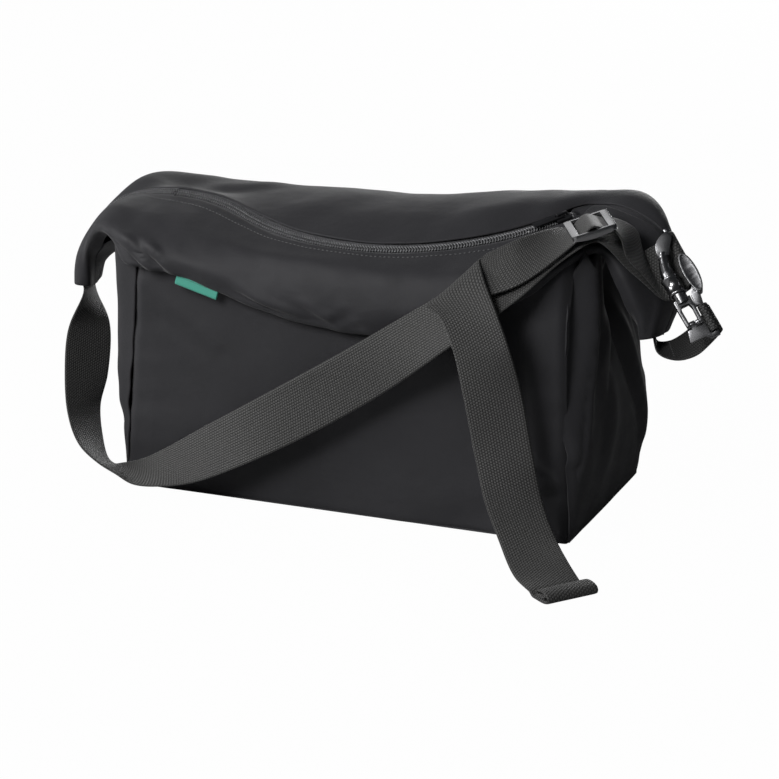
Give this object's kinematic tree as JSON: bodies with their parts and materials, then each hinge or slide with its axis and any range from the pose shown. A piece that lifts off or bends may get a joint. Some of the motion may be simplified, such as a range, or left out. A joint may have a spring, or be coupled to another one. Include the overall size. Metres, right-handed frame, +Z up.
{
  "type": "messenger bag",
  "caption": "Black nylon messenger bag with a curved top zipper, a webbing shoulder strap with a three-bar slide, and a metal snap hook at one end.",
  "frame": {"origin": "centre of the base panel, on the surface that the bag stands on", "axes": "+X along the bag's length towards the snap hook, -Y out of the front panel, +Z up"},
  "size_m": [0.5034, 0.2653, 0.2247],
  "materials": {
    "nylon_fabric": "woven black nylon",
    "webbing": "ribbed black webbing",
    "lining_fabric": "plain thin lining",
    "zipper_tape": "woven tape",
    "zipper_coil": "moulded coil",
    "label_fabric": "woven green ribbon",
    "stiff_board": "moulded sheet",
    "black_metal": "black lacquer",
    "gunmetal": "satin dark nickel plate",
    "steel_pin": "drawn steel"
  },
  "bodies": {
    "bag": {"base_panel": "nylon_fabric", "front_panel": "nylon_fabric", "back_panel": "nylon_fabric", "left_gusset": "nylon_fabric", "right_gusset": "nylon_fabric", "yoke_front": "nylon_fabric", "yoke_back": "nylon_fabric", "lip_facing": "nylon_fabric", "base_board": "stiff_board", "lining": "lining_fabric", "zipper_tape_front": "zipper_tape", "zipper_tape_back": "zipper_tape", "zipper_coil_front": "zipper_coil", "zipper_coil_back": "zipper_coil", "zipper_stop_left": "black_metal", "zipper_stop_right": "black_metal", "side_label": "label_fabric", "strap_left_loop": "webbing", "strap_front_run": "webbing", "strap_under_run": "webbing", "strap_hook_loop": "webbing", "strap_threaded_run": "webbing", "strap_tail": "webbing", "strap_hem": "webbing", "anchor_webbing": "webbing", "adjuster_frame": "gunmetal", "hook_frame": "gunmetal", "hook_pin": "steel_pin", "gate_spring": "steel_pin"},
    "slider": {"zipper_slider": "black_metal"},
    "pull": {"zipper_pull": "black_metal"},
    "hook_arm": {"hook_arm": "gunmetal"},
    "sleeve": {"lock_sleeve": "gunmetal"}
  },
  "joints": [
    {"name": "slider_travel", "type": "hinge", "parent": "bag", "child": "slider", "pos_m": [0.0017, 0.11518, 0.25192], "axis": [0, -0.342, 0.9397], "range_deg": [-76, 0]},
    {"name": "pull_swing", "type": "hinge", "parent": "slider", "child": "pull", "pos_m": [0.1359, -0.00399, 0.21344], "axis": [-0.7314, 0.6409, 0.2333], "range_deg": [0, 120]},
    {"name": "arm_pivot", "type": "hinge", "parent": "bag", "child": "hook_arm", "pos_m": [0.2478, -0.05605, 0.1618], "axis": [0.7668, 0.5037, 0.398], "range_deg": [0, 75], "stiffness_Nm_per_rad": 0.05, "springref_deg": -11.46},
    {"name": "sleeve_slide", "type": "slide", "parent": "hook_arm", "child": "sleeve", "axis": [0.6109, -0.3821, -0.6934], "range_m": [0, 0.0035]}
  ]
}
